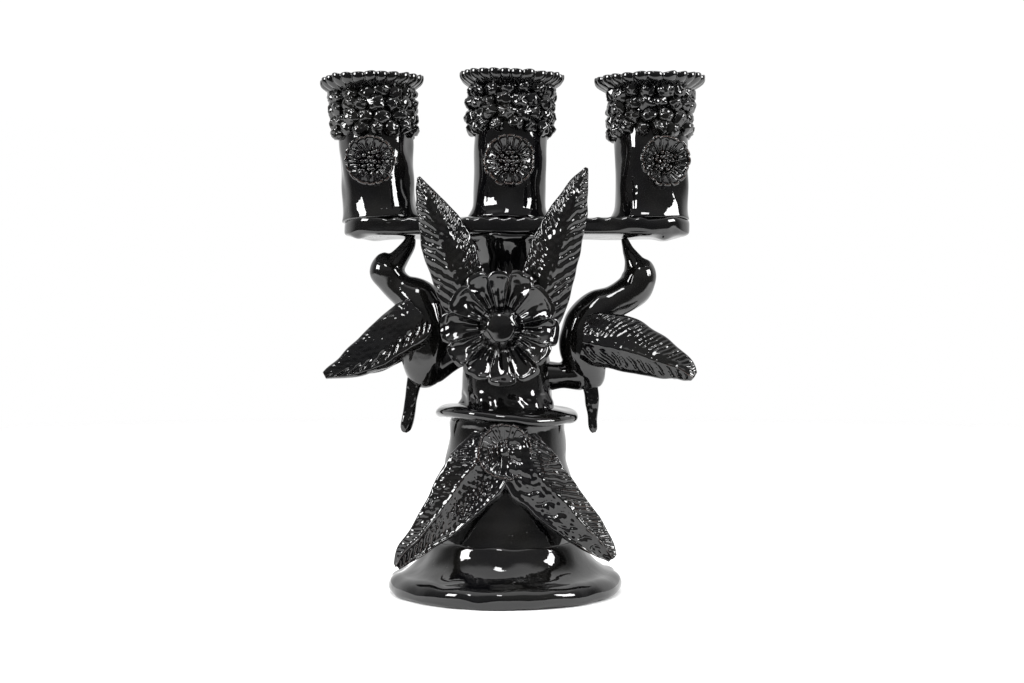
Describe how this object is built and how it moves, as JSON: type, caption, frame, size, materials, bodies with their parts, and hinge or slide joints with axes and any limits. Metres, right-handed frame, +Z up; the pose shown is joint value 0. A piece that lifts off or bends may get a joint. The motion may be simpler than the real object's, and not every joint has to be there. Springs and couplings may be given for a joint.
{
  "type": "tabletop candelabra",
  "caption": "Black glazed ceramic candelabra: bell foot, column and crossbar with candle cups, trimmed with flowers, feathered leaves and birds.",
  "frame": {"origin": "centre of the foot's flat underside, on the column's axis, at table level", "axes": "+Z up along the column; +X along the crossbar to the viewer's right; the flowered front faces -Y"},
  "size_m": [0.2302, 0.1386, 0.3088],
  "materials": {
    "black_glaze": "high gloss"
  },
  "bodies": {
    "root": {"base_bell": "black_glaze", "base_flower": "black_glaze", "base_flower_boss": "black_glaze", "base_leaf_left": "black_glaze", "base_leaf_right": "black_glaze", "berry_band_centre": "black_glaze", "berry_band_left": "black_glaze", "berry_band_right": "black_glaze", "bird_beak_left": "black_glaze", "bird_beak_right": "black_glaze", "bird_body_left": "black_glaze", "bird_body_right": "black_glaze", "bird_head_left": "black_glaze", "bird_head_right": "black_glaze", "bird_neck_left": "black_glaze", "bird_neck_right": "black_glaze", "bird_strap_left": "black_glaze", "bird_strap_right": "black_glaze", "candle_cup_centre": "black_glaze", "candle_cup_left": "black_glaze", "candle_cup_right": "black_glaze", "collar_disc": "black_glaze", "column": "black_glaze", "crossbar": "black_glaze", "cup_rosette_centre": "black_glaze", "cup_rosette_left": "black_glaze", "cup_rosette_right": "black_glaze", "drip_rim_centre": "black_glaze", "drip_rim_left": "black_glaze", "drip_rim_right": "black_glaze", "foot_plate": "black_glaze", "main_flower": "black_glaze", "main_flower_boss": "black_glaze", "neck_funnel": "black_glaze", "rosette_heart_centre": "black_glaze", "rosette_heart_left": "black_glaze", "rosette_heart_right": "black_glaze", "tail_left": "black_glaze", "tail_right": "black_glaze", "upper_leaf_left": "black_glaze", "upper_leaf_right": "black_glaze", "wing_back_left": "black_glaze", "wing_back_right": "black_glaze", "wing_front_left": "black_glaze", "wing_front_right": "black_glaze"}
  },
  "joints": []
}
